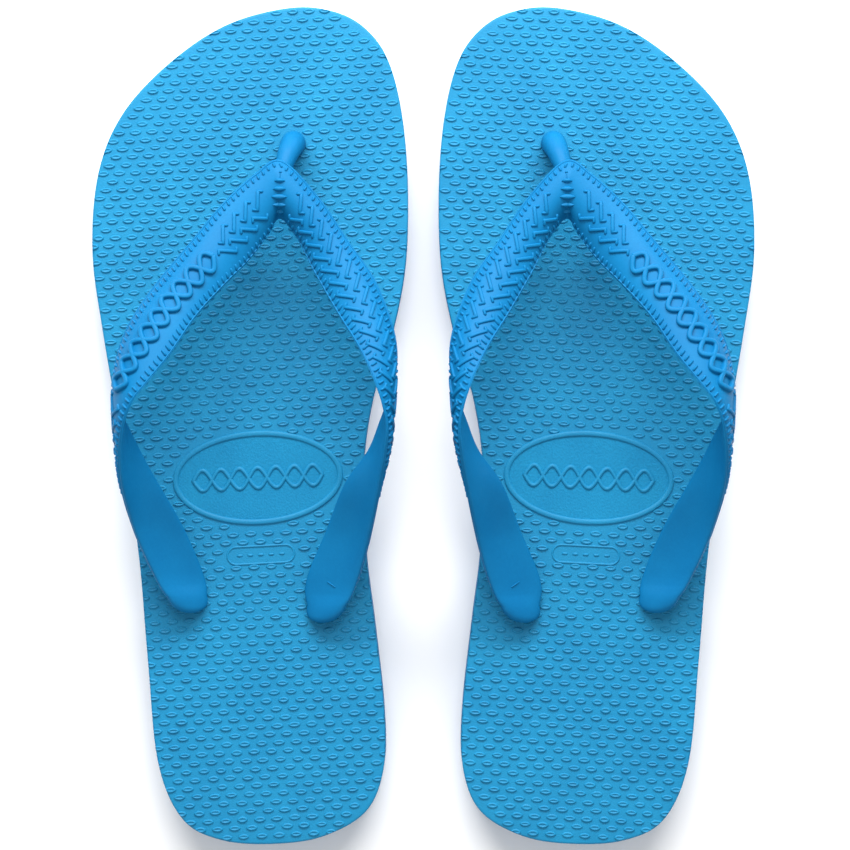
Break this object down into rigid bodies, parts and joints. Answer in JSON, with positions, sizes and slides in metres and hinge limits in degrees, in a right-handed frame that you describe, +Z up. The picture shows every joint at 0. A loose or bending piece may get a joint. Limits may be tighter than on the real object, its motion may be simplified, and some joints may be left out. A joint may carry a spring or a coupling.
{
  "type": "flip flops",
  "caption": "Pair of moulded rubber flip flops with grain-textured footbeds, V-shaped patterned straps, toe posts and flexing forefoot soles.",
  "frame": {"origin": "centre of the pair's bounding box, on the ground under the soles", "axes": "+Y towards the toes, +X to the wearer's right, +Z up"},
  "size_m": [0.2018, 0.2548, 0.0558],
  "materials": {
    "footbed": "matte, embossed grain",
    "outsole": "matte, die-cut edge",
    "strap": "satin, moulded"
  },
  "bodies": {
    "left_rear": {"left_footbed_rear": "footbed", "left_outsole_rear": "outsole", "left_strap": "strap"},
    "left_forefoot": {"left_footbed_front": "footbed", "left_outsole_front": "outsole"},
    "right_rear": {"right_footbed_rear": "footbed", "right_outsole_rear": "outsole", "right_strap": "strap"},
    "right_forefoot": {"right_footbed_front": "footbed", "right_outsole_front": "outsole"}
  },
  "joints": [
    {"name": "left_toe_flex", "type": "hinge", "parent": "left_rear", "child": "left_forefoot", "pos_m": [-0.05457, 0.02988, 0.01484], "axis": [0.9986, 0.0523, 0], "range_deg": [0, 40], "stiffness_Nm_per_rad": 1.5, "deforming": ["left_strap"]},
    {"name": "right_toe_flex", "type": "hinge", "parent": "right_rear", "child": "right_forefoot", "pos_m": [0.05457, 0.02988, 0.01484], "axis": [0.9986, -0.0523, 0], "range_deg": [0, 40], "stiffness_Nm_per_rad": 1.5, "deforming": ["right_strap"]},
    {"name": "pair_apart", "type": "slide", "parent": "left_rear", "child": "right_rear", "axis": [1, 0, 0], "range_m": [0, 0.1]}
  ]
}
